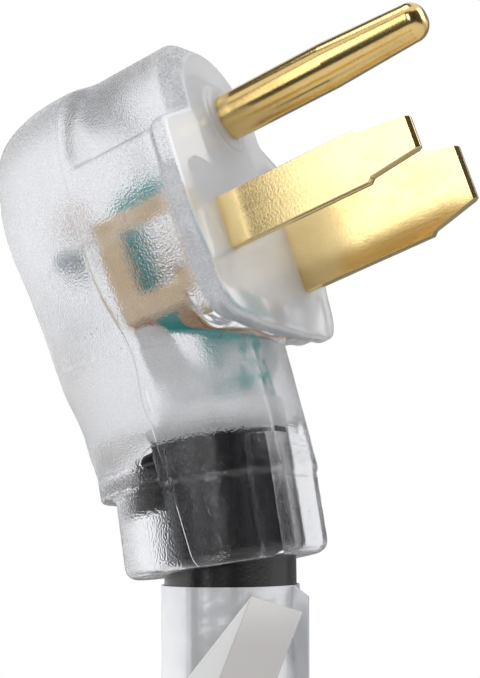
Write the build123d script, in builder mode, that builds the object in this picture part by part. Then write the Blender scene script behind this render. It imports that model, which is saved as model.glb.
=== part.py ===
from build123d import *
import os
from math import cos, pi, radians, sin, tan

os.makedirs("parts", exist_ok=True)

# A right-angle moulded plug with a clear body, an indicator lamp inside it and a short heavy lead.
# +Z is up, the prongs point along -Y, and the origin is on the face, midway between the blades.

# Prongs
blade_spacing = 20.6
blade_thickness = 1.6
blade_length = 26.7
narrow_width = 7.0
narrow_tip_width = 4.2
wide_width = 12.3
wide_tip_width = 7.6
blade_shoulder_at = 19.4
blade_step = 0.55
blade_tip_bevel = 0.5
seam_width = 0.22
seam_depth = 0.25
ground_rise = 18.0
pin_radius = 3.2
pin_length = 30.6
pin_taper_length = 12.0
pin_neck_radius = 2.6
pin_dome_length = 2.3
pin_tip_radius = 1.0
pin_dome_bulge = 0.5

# Anchors of the prongs inside the moulding
tail_height = 12.4
tail_start = 1.8
tail_end = 16.6
window_start = 5.2
window_end = 13.2
window_height = 7.4
pin_root_radius = 3.0
pin_root_gap = 0.2
pin_root_end = 2.0
rivet_radius = 1.8
rivet_length = 1.8
strap_thickness = 1.2
strap_half_width = 2.6
strap_margin = 3.0
strap_hole_z = 9.0

# Inner bridge that holds the prongs, cast into the clear body
bridge_front = 1.2
bridge_back = 4.0
bridge_half_width = 13.4
bridge_bottom = -8.6
bridge_shoulder = 9.4
bridge_tower_half_width = 6.4
bridge_tower_rise = 6.0
bridge_corner = 1.2

# Face, flange and shouldered front block of the body
body_half_width = 18.7
body_bottom = -12.4
shoulder_height = 12.6
shoulder_half_width = 10.0
shoulder_rise = 3.8
lower_corner = 12.0
shoulder_corner = 2.0
flange_lip = 0.7
flange_depth = 2.4
flange_edge = 0.6
hood_radius = 12.5
hood_bevel = 2.5
pin_lip_radius = 4.7
pin_lip_height = 0.6
pin_lip_edge = 0.25

# Rounded grip behind the parting line, and the neck
parting_y = 16.2
parting_step = 0.3
parting_overlap = 0.8
arch_height = 12.6
crown_angles = (22.0, 42.0, 59.0, 72.0, 81.0)
crown_rise = 17.6
crown_fullness = 0.3
ramp_radius = 17.4
ramp_top_radius = 12.4
ramp_depth = 1.8
grip_depth = 19.1
neck_depth = 15.5
back_sweep = 1.9
neck_half_width = 13.9
neck_front_depth = 13.9
ring_front_depth = 13.7
neck_top = -14.0
hip_height = -9.0
hip_half_width = 14.8
flank_height = -4.0
flank_half_width = 17.6
waist_height = 3.5
ring_setback = 0.3

# Strain relief, leaning away from the wall
relief_lean = 9.0
ring_y = 16.5
ring_z = -28.6
relief_half_width = 13.1
relief_half_depth = 13.4
relief_setback = 0.3
relief_length = 10.8
relief_edge = 1.6
facet_inner_angle = 23.0
facet_outer_angle = 37.0

# Wires and their ends
cord_radius = 8.6
jacket_rise = 5.4
wire_radius = 2.3
wire_ring_radius = 3.0
narrow_wire_angle = 180.0
wide_wire_angle = 60.0
ground_angle = -60.0
wire_bend = 3.0
wire_lead = 5.0
wrap_gap = 0.5
wrap_thickness = 0.5
wrap_height = 4.4
bare_height = 1.0
weld_width = 2.8
weld_thickness = 1.8
weld_top = 5.4
conductor_radius = 1.5
ground_front_y = 11.2
ground_low_z = -9.0
ground_back_y = 15.6
ground_bend_z = -2.0

# Indicator lamp and its dropper
lamp_y = 22.0
lamp_z = 9.0
lamp_radius = 1.5
lamp_length = 3.8
lamp_rim_radius = 1.9
lamp_rim_height = 1.0
lead_radius = 0.3
lead_spread = 1.27
lead_level = 4.4
resistor_radius = 1.2
resistor_waist_radius = 1.0
resistor_cap = 1.6
resistor_length = 6.0
resistor_gap = 1.6

# Lead, its label and the connector on its far end
cord_runs = (26.0, 44.0, 50.0, 46.0)
cord_leans = (18.0, 24.0, 13.0, 4.0)
cord_lead_in = 4.0
arc_share = 0.45
label_gap = 2.3
label_foot = 13.0
label_thickness = 0.35
flag_width = 2.2
flag_thickness = 0.4
strip_width = 6.5
strip_thickness = 0.4
strip_length = 17.0
strip_facing = 25.0
strip_drop = 1.0
strip_shift = 3.0
strip_fold_turn = 72.0
strip_front_turn = 22.0
strip_back_turn = 39.0
collar_radius = 11.6
collar_length = 20.0
collar_flare = 14.4
shell_taper = 14.0
shell_length = 34.0
shell_width = 39.0
shell_height = 46.0
shell_corner = 12.0
shell_edge = 1.6
shell_offset = 7.6
insert_margin = 3.0
insert_depth = 32.0
insert_corner = 9.0
insert_front_wall = 3.0
slot_play = 0.5
contact_wall = 0.8
contact_length = 12.0
bore_play = 0.2
groove_count = 3
groove_width = 1.6
groove_depth = 1.0
groove_pitch = 4.6

# Places worked out from the sizes above
half_spacing = blade_spacing / 2
lean_axis = Vector(0, sin(radians(relief_lean)), -cos(radians(relief_lean)))
ring_plane = Plane(origin=(0, ring_y, ring_z), x_dir=(1, 0, 0), z_dir=lean_axis)
exit_point = ring_plane.origin + lean_axis * relief_length
exit_plane = Plane(origin=exit_point, x_dir=(1, 0, 0), z_dir=lean_axis)
neck_ring = Plane(origin=ring_plane.origin, x_dir=(1, 0, 0), z_dir=-lean_axis)
jacket_top = Plane(origin=ring_plane.origin - lean_axis * jacket_rise, x_dir=(1, 0, 0), z_dir=-lean_axis)
crown_radius = body_half_width - parting_step
block_end = parting_y - parting_overlap / 2
tail_bar_y = (window_end + tail_end) / 2
weld_x = half_spacing - blade_thickness / 2 - weld_thickness / 2
strip_z = -tail_height / 2 - bare_height
bridge_top = ground_rise + bridge_tower_rise
half_turn = 180


def face_plane(y):
    """Plane of a sketch that faces the wall, at a depth y behind the plug's face."""
    return Plane.XZ.offset(-y)


def back_depth(z):
    """Depth of the grip behind the parting line, drawing in from the arch down to the neck."""
    rise = (z - ring_z) / (arch_height - ring_z)
    return neck_depth + (grip_depth - neck_depth) * rise**back_sweep


# Brass prongs
def blade_body(x, width, tip_width):
    """Blade of one thickness with a window in its anchor, a bevelled tip and the seam of its fold."""
    middle = Plane.YZ.offset(x)
    half = width / 2
    anchor = tail_height / 2
    step = half - blade_step
    with BuildSketch(middle) as outline:
        with BuildLine():
            Polyline(
                (tail_end, anchor),
                (tail_start, anchor),
                (tail_start, half),
                (-blade_shoulder_at, half),
                (-blade_shoulder_at - blade_step, step),
                (-blade_length, tip_width / 2),
                (-blade_length, -tip_width / 2),
                (-blade_shoulder_at - blade_step, -step),
                (-blade_shoulder_at, -half),
                (tail_start, -half),
                (tail_start, -anchor),
                (tail_end, -anchor),
                close=True,
            )
        make_face()
        with Locations(((window_start + window_end) / 2, 0)):
            Rectangle(window_end - window_start, window_height, mode=Mode.SUBTRACT)
    extrude(outline.sketch, amount=blade_thickness / 2, both=True)
    chamfer(edges().group_by(Axis.Y)[0].filter_by(Axis.Z), blade_tip_bevel)
    with BuildSketch(middle) as seam:
        with Locations((-blade_shoulder_at / 2, half), (-blade_shoulder_at / 2, -half)):
            Rectangle(blade_shoulder_at, 2 * seam_depth)
    extrude(seam.sketch, amount=seam_width / 2, both=True, mode=Mode.SUBTRACT)


with BuildPart() as narrow_blade:
    blade_body(-half_spacing, narrow_width, narrow_tip_width)

with BuildPart() as wide_blade:
    blade_body(half_spacing, wide_width, wide_tip_width)

with BuildPart() as ground_pin:
    with BuildSketch(Plane.XY.offset(ground_rise)):
        with BuildLine():
            dome_start = -pin_length + pin_dome_length
            root_start = -pin_lip_height - pin_root_gap
            straight = Polyline(
                (0, -pin_length),
                (0, pin_root_end + rivet_length),
                (rivet_radius, pin_root_end + rivet_length),
                (rivet_radius, pin_root_end),
                (pin_root_radius, pin_root_end),
                (pin_root_radius, root_start),
                (pin_radius, root_start),
                (pin_radius, dome_start + pin_taper_length),
                (pin_neck_radius, dome_start),
            )
            dome = SagittaArc(straight @ 1, (pin_tip_radius, -pin_length), pin_dome_bulge)
            Line(dome @ 1, straight @ 0)
        make_face()
    revolve(axis=Axis((0, 0, ground_rise), (0, 1, 0)))


# Strap that joins the earth wire to the pin, riveted behind the pin
with BuildPart() as ground_strap:
    with BuildSketch(face_plane(pin_root_end)):
        with Locations((0, (ground_rise + strap_hole_z) / 2)):
            Rectangle(2 * strap_half_width, ground_rise - strap_hole_z + 2 * strap_margin)
        with Locations((0, ground_rise)):
            Circle(rivet_radius, mode=Mode.SUBTRACT)
        with Locations((0, strap_hole_z)):
            Circle(conductor_radius, mode=Mode.SUBTRACT)
    extrude(amount=-strap_thickness)


# Insulated wires, with the bared ends that are welded or crimped
def wire_start(angle):
    """Place of a wire in the cut end of the jacket, and the point a short way above it."""
    across = wire_ring_radius * cos(radians(angle))
    back = wire_ring_radius * sin(radians(angle))
    low = jacket_top.from_local_coords(Vector(across, back, 0))
    high = jacket_top.from_local_coords(Vector(across, back, wire_lead))
    return [low, high]


def insulated_wire(points):
    """Round wire swept along straight runs joined by equal bends."""
    with BuildLine() as route:
        FilletPolyline(*points, radius=wire_bend)
    with BuildSketch(Plane(origin=points[0], z_dir=points[1] - points[0])) as section:
        Circle(wire_radius)
    sweep(section.sketch, path=route.wires()[0])


def blade_wire(side, angle):
    """Wire from the jacket to the rear bar of a blade's anchor, on the side given by its sign."""
    below = Vector(side * weld_x, tail_bar_y, strip_z - wire_lead)
    end = Vector(side * weld_x, tail_bar_y, strip_z)
    insulated_wire(wire_start(angle) + [below, end])


def welded_end(side):
    """Bared strands pressed flat and welded along the inner face of a blade's rear bar."""
    with BuildSketch(Plane.XY.offset(strip_z)) as section:
        with Locations((side * weld_x, tail_bar_y)):
            Rectangle(weld_thickness, weld_width)
    extrude(section.sketch, amount=weld_top - strip_z)


with BuildPart() as narrow_wire:
    blade_wire(-1, narrow_wire_angle)

with BuildPart() as wide_wire:
    blade_wire(1, wide_wire_angle)

with BuildPart() as narrow_conductor:
    welded_end(-1)

with BuildPart() as wide_conductor:
    welded_end(1)

with BuildPart() as ground_wire:
    insulated_wire(
        wire_start(ground_angle)
        + [
            Vector(0, ground_front_y, ground_low_z),
            Vector(0, ground_back_y, ground_bend_z),
            Vector(0, ground_back_y, strap_hole_z),
            Vector(0, bridge_back, strap_hole_z),
        ]
    )

# Paper wrap of the cores, left standing above the jacket's end
with BuildPart() as core_wrap:
    with BuildSketch(jacket_top):
        wrap_bore = wire_ring_radius + wire_radius + wrap_gap
        Circle(wrap_bore + wrap_thickness)
        Circle(wrap_bore, mode=Mode.SUBTRACT)
    extrude(amount=wrap_height)

with BuildPart() as ground_conductor:
    with BuildSketch(face_plane(pin_root_end)):
        with Locations((0, strap_hole_z)):
            Circle(conductor_radius)
    extrude(amount=-(bridge_back - pin_root_end))

# Inner bridge, with the prongs, the strap and the end of the earth wire in it
with BuildPart() as prong_bridge:
    with BuildSketch(face_plane(bridge_front)):
        with BuildLine():
            Polyline(
                (-bridge_half_width, bridge_bottom),
                (bridge_half_width, bridge_bottom),
                (bridge_half_width, bridge_shoulder),
                (bridge_tower_half_width, bridge_shoulder),
                (bridge_tower_half_width, bridge_top),
                (-bridge_tower_half_width, bridge_top),
                (-bridge_tower_half_width, bridge_shoulder),
                (-bridge_half_width, bridge_shoulder),
                close=True,
            )
        make_face()
        fillet(vertices(), bridge_corner)
    extrude(amount=-(bridge_back - bridge_front))
    for piece in (narrow_blade, wide_blade, ground_pin, ground_strap, ground_conductor):
        add(piece.part, mode=Mode.SUBTRACT)


# Indicator lamp, dropper resistor and their leads
with BuildPart() as indicator_lamp:
    with BuildSketch(Plane.XY.offset(lamp_z)):
        with Locations((0, lamp_y)):
            Circle(lamp_rim_radius)
    extrude(amount=lamp_rim_height)
    with BuildSketch(Plane.XY.offset(lamp_z + lamp_rim_height)):
        with Locations((0, lamp_y)):
            Circle(lamp_radius)
    extrude(amount=lamp_length - lamp_radius)
    with Locations((0, lamp_y, lamp_z + lamp_rim_height + lamp_length - lamp_radius)):
        Sphere(lamp_radius)

resistor_end = -lead_spread - resistor_gap
resistor_start = resistor_end - resistor_length

with BuildPart() as dropper_resistor:
    with BuildSketch(Plane.XY.offset(lead_level)):
        with BuildLine():
            Polyline(
                (resistor_start, lamp_y),
                (resistor_start, lamp_y + resistor_radius),
                (resistor_start + resistor_cap, lamp_y + resistor_radius),
                (resistor_start + resistor_cap, lamp_y + resistor_waist_radius),
                (resistor_end - resistor_cap, lamp_y + resistor_waist_radius),
                (resistor_end - resistor_cap, lamp_y + resistor_radius),
                (resistor_end, lamp_y + resistor_radius),
                (resistor_end, lamp_y),
                close=True,
            )
        make_face()
    revolve(axis=Axis((0, lamp_y, lead_level), (1, 0, 0)))


def lamp_lead(points):
    """Thin tinned lead along straight runs with square bends."""
    with BuildLine() as route:
        Polyline(*points)
    with BuildSketch(Plane(origin=points[0], z_dir=points[1] - points[0])) as section:
        Circle(lead_radius)
    sweep(section.sketch, path=route.wires()[0], transition=Transition.RIGHT)


with BuildPart() as lamp_lead_narrow:
    lamp_lead(
        [
            Vector(-half_spacing, tail_end, lead_level),
            Vector(-half_spacing, lamp_y, lead_level),
            Vector(resistor_start, lamp_y, lead_level),
        ]
    )

with BuildPart() as lamp_lead_middle:
    lamp_lead(
        [
            Vector(resistor_end, lamp_y, lead_level),
            Vector(-lead_spread, lamp_y, lead_level),
            Vector(-lead_spread, lamp_y, lamp_z),
        ]
    )

with BuildPart() as lamp_lead_wide:
    lamp_lead(
        [
            Vector(half_spacing, tail_end, lead_level),
            Vector(half_spacing, lamp_y, lead_level),
            Vector(lead_spread, lamp_y, lead_level),
            Vector(lead_spread, lamp_y, lamp_z),
        ]
    )


# Cut end of the lead's jacket, moulded into the strain relief
with BuildPart() as jacket_end:
    with BuildSketch(exit_plane):
        Circle(cord_radius)
    extrude(amount=-(relief_length + jacket_rise))


# Clear body: the rounded grip, and the front of the neck down to the ring where the strain relief starts
def level(z):
    """Level plane at a height."""
    return Plane.XY.offset(z)


def grip_section(plane, middle, half_width, depth):
    """Half-round section of the grip, reaching a little in front of the parting line."""
    front = middle - parting_overlap
    with BuildSketch(plane) as section:
        with BuildLine():
            Line((half_width, front), (half_width, middle))
            EllipticalCenterArc((0, middle), half_width, depth, start_angle=0, arc_size=half_turn)
            Line((-half_width, middle), (-half_width, front))
            Line((-half_width, front), (half_width, front))
        make_face()
    return section.sketch


def front_point(middle, half_width, depth, angle):
    """Point of an elliptical outline, given by its angle from the foremost point."""
    return (half_width * sin(radians(angle)), middle - depth * cos(radians(angle)))


def front_facets(middle, half_width, depth):
    """Corners of the three flats down the front of the neck and the strain relief."""
    angles = (-facet_outer_angle, -facet_inner_angle, facet_inner_angle, facet_outer_angle)
    return [front_point(middle, half_width, depth, angle) for angle in angles]


def neck_section(plane, middle, depth):
    """Half-round section of the front of the neck, reaching a little behind the parting line."""
    back = middle + parting_overlap
    side = neck_half_width - parting_step
    turn = 90 - facet_outer_angle
    with BuildSketch(plane) as section:
        with BuildLine():
            EllipticalCenterArc((0, middle), side, depth, start_angle=180, arc_size=turn)
            Polyline(*front_facets(middle, side, depth))
            EllipticalCenterArc((0, middle), side, depth, start_angle=360 - turn, arc_size=turn)
            Polyline((side, middle), (side, back), (-side, back), (-side, middle))
        make_face()
    return section.sketch


with BuildPart() as grip_form:
    nape_z = (ring_z + neck_top) / 2
    nape_y = (ring_y + ring_setback + parting_y) / 2
    sections = [
        grip_section(neck_ring, ring_setback, neck_half_width, neck_depth),
        grip_section(level(nape_z), nape_y, neck_half_width, back_depth(nape_z)),
        grip_section(level(neck_top), parting_y, neck_half_width, back_depth(neck_top)),
        grip_section(level(hip_height), parting_y, hip_half_width, back_depth(hip_height)),
        grip_section(level(flank_height), parting_y, flank_half_width, back_depth(flank_height)),
        grip_section(level(waist_height), parting_y, crown_radius, back_depth(waist_height)),
        grip_section(level(arch_height), parting_y, crown_radius, grip_depth),
    ]
    for angle in crown_angles:
        height = arch_height + crown_rise * sin(radians(angle))
        narrowing = cos(radians(angle))
        depth = grip_depth * narrowing**crown_fullness
        sections.append(grip_section(level(height), parting_y, crown_radius * narrowing, depth))
    loft(sections)

with BuildPart() as neck_form:
    loft(
        [
            neck_section(neck_ring, ring_setback, ring_front_depth),
            neck_section(level(hip_height), parting_y, neck_front_depth),
        ],
        ruled=True,
    )


with BuildPart() as relief_form:
    with BuildSketch(neck_ring):
        with BuildLine():
            Polyline(*front_facets(relief_setback, relief_half_width, relief_half_depth))
            EllipticalCenterArc(
                (0, relief_setback),
                relief_half_width,
                relief_half_depth,
                start_angle=facet_outer_angle - 90,
                arc_size=360 - 2 * facet_outer_angle,
            )
        make_face()
    extrude(amount=-relief_length)
    fillet(faces().sort_by(Axis.Z)[0].edges(), relief_edge)


def block_outline(plane, lip):
    """Shouldered outline of the front block, wider by the given lip."""
    with BuildSketch(plane) as outline:
        with BuildLine():
            Polyline(
                (-body_half_width, body_bottom),
                (body_half_width, body_bottom),
                (body_half_width, shoulder_height),
                (shoulder_half_width, shoulder_height + shoulder_rise),
                (-shoulder_half_width, shoulder_height + shoulder_rise),
                (-body_half_width, shoulder_height),
                close=True,
            )
        make_face()
        fillet(vertices().group_by(Axis.Y)[0], lower_corner)
        fillet(vertices().group_by(Axis.X)[0].sort_by(Axis.Y)[-1:], shoulder_corner)
        fillet(vertices().group_by(Axis.X)[-1].sort_by(Axis.Y)[-1:], shoulder_corner)
        if lip > 0:
            offset(amount=lip)
    return outline.sketch


with BuildPart() as hood_form:
    with BuildSketch(face_plane(0)):
        with BuildLine():
            side = Line((hood_radius, 0), (hood_radius, ground_rise))
            CenterArc((0, ground_rise), hood_radius, 0, 180)
            Line((-hood_radius, ground_rise), (-hood_radius, 0))
            Line((-hood_radius, 0), (hood_radius, 0))
        make_face()
    extrude(amount=-block_end)
    chamfer(faces().sort_by(Axis.Y)[0].edges(), hood_bevel)

with BuildPart() as ramp_form:
    with Locations(Plane(origin=(0, block_end, arch_height), x_dir=(1, 0, 0), z_dir=(0, -1, 0))):
        Cone(ramp_radius, ramp_top_radius, ramp_depth, align=(Align.CENTER, Align.CENTER, Align.MIN))

with BuildPart() as flange_form:
    extrude(block_outline(face_plane(0), flange_lip), amount=-flange_depth)
    fillet(faces().sort_by(Axis.Y)[0].edges(), flange_edge)
    chamfer(faces().sort_by(Axis.Y)[-1].edges(), flange_lip - parting_step)

with BuildPart() as block_form:
    extrude(block_outline(face_plane(flange_edge), 0), amount=-(block_end - flange_edge))

with BuildPart() as pin_lip_form:
    with BuildSketch(face_plane(0)):
        with Locations((0, ground_rise)):
            Circle(pin_lip_radius)
    extrude(amount=pin_lip_height)
    chamfer(faces().sort_by(Axis.Y)[0].edges(), pin_lip_edge)

embedded_pieces = [
    narrow_blade,
    wide_blade,
    ground_pin,
    prong_bridge,
    ground_strap,
    narrow_wire,
    wide_wire,
    ground_wire,
    narrow_conductor,
    wide_conductor,
    ground_conductor,
    indicator_lamp,
    dropper_resistor,
    lamp_lead_narrow,
    lamp_lead_middle,
    lamp_lead_wide,
    core_wrap,
    jacket_end,
]

with BuildPart() as plug_body:
    add(block_form.part)
    add(flange_form.part)
    add(hood_form.part)
    add(ramp_form.part)
    add(pin_lip_form.part)
    add(grip_form.part)
    add(neck_form.part)
    add(relief_form.part)
    for piece in embedded_pieces:
        add(piece.part, mode=Mode.SUBTRACT)


# Lead: straight runs joined by arcs as large as the runs allow
def lean_step(run, lean):
    """Step along one run of the lead that leans back by an angle as it goes down."""
    return Vector(0, run * sin(radians(lean)), -run * cos(radians(lean)))


cord_points = [exit_point]
for run, lean in zip(cord_runs, cord_leans):
    cord_points.append(cord_points[-1] + lean_step(run, lean))

cord_radii = []
for index in range(1, len(cord_runs)):
    turn = abs(cord_leans[index] - cord_leans[index - 1])
    shorter = min(cord_runs[index - 1], cord_runs[index])
    cord_radii.append(arc_share * shorter / tan(radians(turn / 2)))

cord_axis = (cord_points[1] - exit_point).normalized()
cord_start = exit_point - cord_axis * cord_lead_in

with BuildPart() as cord:
    with BuildLine() as cord_route:
        FilletPolyline(cord_start, *cord_points[1:], radius=cord_radii)
    with BuildSketch(Plane(origin=cord_start, x_dir=(1, 0, 0), z_dir=cord_axis)):
        Circle(cord_radius)
    sweep(path=cord_route.wires()[0])
    split(bisect_by=exit_plane, keep=Keep.TOP)

cord_length = cord_route.wires()[0].length - cord_lead_in
section_volume = pi * cord_radius**2 * cord_length
print("cord radii", [round(radius, 1) for radius in cord_radii])
print("cord length", round(cord_length, 1), "volume ratio", round(cord.part.volume / section_volume, 5))


# Label wrapped round the lead just below the strain relief, with the free edge of its film
label_start = exit_point + cord_axis * label_gap
label_end = cord_points[1] + lean_step(label_foot, cord_leans[1])
label_plane = Plane(origin=label_start, x_dir=(1, 0, 0), z_dir=cord_axis)
label_radius = cord_radius + label_thickness


def label_route():
    """Path of the label along the lead."""
    with BuildLine() as route:
        FilletPolyline(label_start, cord_points[1], label_end, radius=cord_radii[0])
    return route.wires()[0]


with BuildPart() as label_wrap:
    with BuildSketch(label_plane) as wrap_section:
        Circle(label_radius)
        Circle(cord_radius, mode=Mode.SUBTRACT)
    sweep(wrap_section.sketch, path=label_route())

with BuildPart() as label_flag:
    with BuildSketch(label_plane) as flag_section:
        with Locations((0, label_radius + flag_width / 2)):
            Rectangle(flag_thickness, flag_width)
    sweep(flag_section.sketch, path=label_route())


# Folded strip that lies against the label
facing_angle = radians(strip_facing)
strip_normal = label_plane.y_dir * sin(facing_angle) - label_plane.x_dir * cos(facing_angle)
strip_origin = label_start + cord_axis * strip_drop + strip_normal * label_radius
strip_plane = Plane(origin=strip_origin, x_dir=cord_axis, z_dir=strip_normal)


def strip_step(length, turn):
    """Step in the plane of the strip, turned from the lead's direction."""
    return Vector(length * cos(radians(turn)), length * sin(radians(turn)))


def strip_leg(layer, turn):
    """One leg of the folded strip, from the fold down to its plain end."""
    inner = Vector(0, strip_shift)
    outer = inner + strip_step(strip_width, strip_fold_turn)
    run = strip_step(strip_length, turn)
    with BuildSketch(strip_plane.offset(layer * strip_thickness)) as leg:
        with BuildLine():
            Polyline(inner, outer, outer + run, inner + run, close=True)
        make_face()
    extrude(leg.sketch, amount=strip_thickness)


with BuildPart() as label_strip:
    strip_leg(0, -strip_back_turn)
    strip_leg(1, -strip_front_turn)


# Connector on the far end of the lead
end_lean = radians(cord_leans[-1])
end_axis = Vector(0, sin(end_lean), -cos(end_lean))
end_plane = Plane(origin=cord_points[-1], x_dir=(1, 0, 0), z_dir=end_axis)
shell_plane = end_plane.offset(collar_length + shell_taper)
face_out = end_plane.offset(collar_length + shell_taper + shell_length)
insert_back = face_out.offset(-insert_depth)


def shell_outline(plane, margin, corner):
    """Rounded outline of the connector, drawn in by a margin."""
    with BuildSketch(plane) as outline:
        with Locations((0, shell_offset)):
            RectangleRounded(shell_width - 2 * margin, shell_height - 2 * margin, corner)
    return outline.sketch


def contact_places():
    """Place, blade width and blade thickness of the two slots."""
    return ((-half_spacing, narrow_width), (half_spacing, wide_width))


with BuildPart() as connector_body:
    with BuildSketch(end_plane):
        Circle(collar_radius)
    with BuildSketch(end_plane.offset(collar_length)):
        Circle(collar_flare)
    loft(ruled=True)
    for index in range(groove_count):
        with BuildSketch(end_plane.offset(groove_pitch * (index + 1) - groove_width / 2)):
            Circle(collar_flare)
            Circle(collar_radius - groove_depth, mode=Mode.SUBTRACT)
        extrude(amount=groove_width, mode=Mode.SUBTRACT)
    with BuildSketch(end_plane.offset(collar_length)) as collar_top:
        Circle(collar_flare)
    loft([collar_top.sketch, shell_outline(shell_plane, 0, shell_corner)])
    extrude(shell_outline(shell_plane, 0, shell_corner), amount=shell_length)
    fillet(faces().sort_by(Axis.Z)[0].edges(), shell_edge)
    extrude(shell_outline(insert_back, insert_margin, insert_corner), amount=insert_depth, mode=Mode.SUBTRACT)

with BuildPart() as connector_face:
    extrude(shell_outline(insert_back, insert_margin, insert_corner), amount=insert_depth)
    for place, width in contact_places():
        with BuildSketch(insert_back):
            with Locations((place, 0)):
                Rectangle(blade_thickness + 2 * slot_play, width + 2 * slot_play)
        extrude(amount=insert_depth, mode=Mode.SUBTRACT)
        with BuildSketch(insert_back):
            with Locations((place, 0)):
                Rectangle(
                    blade_thickness + 2 * (slot_play + contact_wall),
                    width + 2 * (slot_play + contact_wall),
                )
        extrude(amount=insert_depth - insert_front_wall, mode=Mode.SUBTRACT)
    with BuildSketch(insert_back):
        with Locations((0, ground_rise)):
            Circle(pin_radius + bore_play)
    extrude(amount=insert_depth, mode=Mode.SUBTRACT)
    with BuildSketch(insert_back):
        with Locations((0, ground_rise)):
            Circle(pin_radius + bore_play + contact_wall)
    extrude(amount=insert_depth - insert_front_wall, mode=Mode.SUBTRACT)

contact_back = insert_back.offset(insert_depth - insert_front_wall - contact_length)


def slot_contact(place, width):
    """Folded brass sleeve that grips a blade."""
    with BuildSketch(contact_back) as section:
        with Locations((place, 0)):
            Rectangle(
                blade_thickness + 2 * (slot_play + contact_wall),
                width + 2 * (slot_play + contact_wall),
            )
            Rectangle(blade_thickness + 2 * slot_play, width + 2 * slot_play, mode=Mode.SUBTRACT)
    extrude(section.sketch, amount=contact_length)


with BuildPart() as narrow_contact:
    slot_contact(*contact_places()[0])

with BuildPart() as wide_contact:
    slot_contact(*contact_places()[1])

with BuildPart() as ground_contact:
    with BuildSketch(contact_back):
        with Locations((0, ground_rise)):
            Circle(pin_radius + bore_play + contact_wall)
            Circle(pin_radius + bore_play, mode=Mode.SUBTRACT)
    extrude(amount=contact_length)


# Finished pieces
finished_pieces = {
    "plug_body": plug_body,
    "narrow_blade": narrow_blade,
    "wide_blade": wide_blade,
    "ground_pin": ground_pin,
    "prong_bridge": prong_bridge,
    "ground_strap": ground_strap,
    "narrow_wire": narrow_wire,
    "wide_wire": wide_wire,
    "ground_wire": ground_wire,
    "narrow_conductor": narrow_conductor,
    "wide_conductor": wide_conductor,
    "ground_conductor": ground_conductor,
    "indicator_lamp": indicator_lamp,
    "dropper_resistor": dropper_resistor,
    "lamp_lead_narrow": lamp_lead_narrow,
    "lamp_lead_middle": lamp_lead_middle,
    "lamp_lead_wide": lamp_lead_wide,
    "core_wrap": core_wrap,
    "jacket_end": jacket_end,
    "cord": cord,
    "label_wrap": label_wrap,
    "label_flag": label_flag,
    "label_strip": label_strip,
    "connector_body": connector_body,
    "connector_face": connector_face,
    "narrow_contact": narrow_contact,
    "wide_contact": wide_contact,
    "ground_contact": ground_contact,
}

for label, piece in finished_pieces.items():
    piece.part.label = label
    export_step(piece.part, f"parts/{label}.step")
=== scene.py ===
"""Dresses the lighted right-angle plug: moulding, prongs, wiring, lead, label and socket end."""

import logging
import math
from dataclasses import dataclass
from enum import Enum
from typing import Any, Sequence

import bpy
from mathutils import Euler, Matrix, Vector
from mathutils.bvhtree import BVHTree


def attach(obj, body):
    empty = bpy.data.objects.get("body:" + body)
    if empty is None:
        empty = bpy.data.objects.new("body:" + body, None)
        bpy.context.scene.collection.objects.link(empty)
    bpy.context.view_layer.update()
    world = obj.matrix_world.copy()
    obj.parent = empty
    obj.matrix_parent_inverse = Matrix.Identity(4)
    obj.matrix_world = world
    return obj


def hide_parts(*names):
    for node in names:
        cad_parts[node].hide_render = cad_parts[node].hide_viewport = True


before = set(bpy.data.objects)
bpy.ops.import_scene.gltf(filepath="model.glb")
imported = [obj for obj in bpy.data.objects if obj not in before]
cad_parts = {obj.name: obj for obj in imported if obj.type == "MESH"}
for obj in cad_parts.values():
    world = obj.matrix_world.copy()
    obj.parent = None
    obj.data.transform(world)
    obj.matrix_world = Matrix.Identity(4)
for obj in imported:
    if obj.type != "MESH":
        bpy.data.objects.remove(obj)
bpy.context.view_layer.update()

log = logging.getLogger("lighted_plug")
NODES: dict[str, bpy.types.Object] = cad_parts
BODY = "root"
Colour = tuple[float, float, float]
Point = tuple[float, float, float]
Span = tuple[float, float]

LEAN = math.radians(9.0)
RELIEF_AXIS = Vector((0.0, math.sin(LEAN), -math.cos(LEAN)))
RING_CENTRE = Vector((0.0, 0.0165, -0.0286))
RELIEF_LENGTH = 0.0108
JACKET_RISE = 0.0054
CORD_RADIUS = 0.0086
LEAD_ROUTE: tuple[Point, ...] = (
    (0.0, 0.018190, -0.039267),
    (0.0, 0.026224, -0.063995),
    (0.0, 0.044120, -0.104191),
    (0.0, 0.055368, -0.152909),
    (0.0, 0.058577, -0.198797),
)
FLOOR_LEVEL = -0.2705


class Grain(Enum):
    """The way that a metal's fine scratches run."""

    ALONG = (2600.0, 45.0, 2600.0)
    ALL_WAYS = (1500.0, 1500.0, 1500.0)


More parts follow.
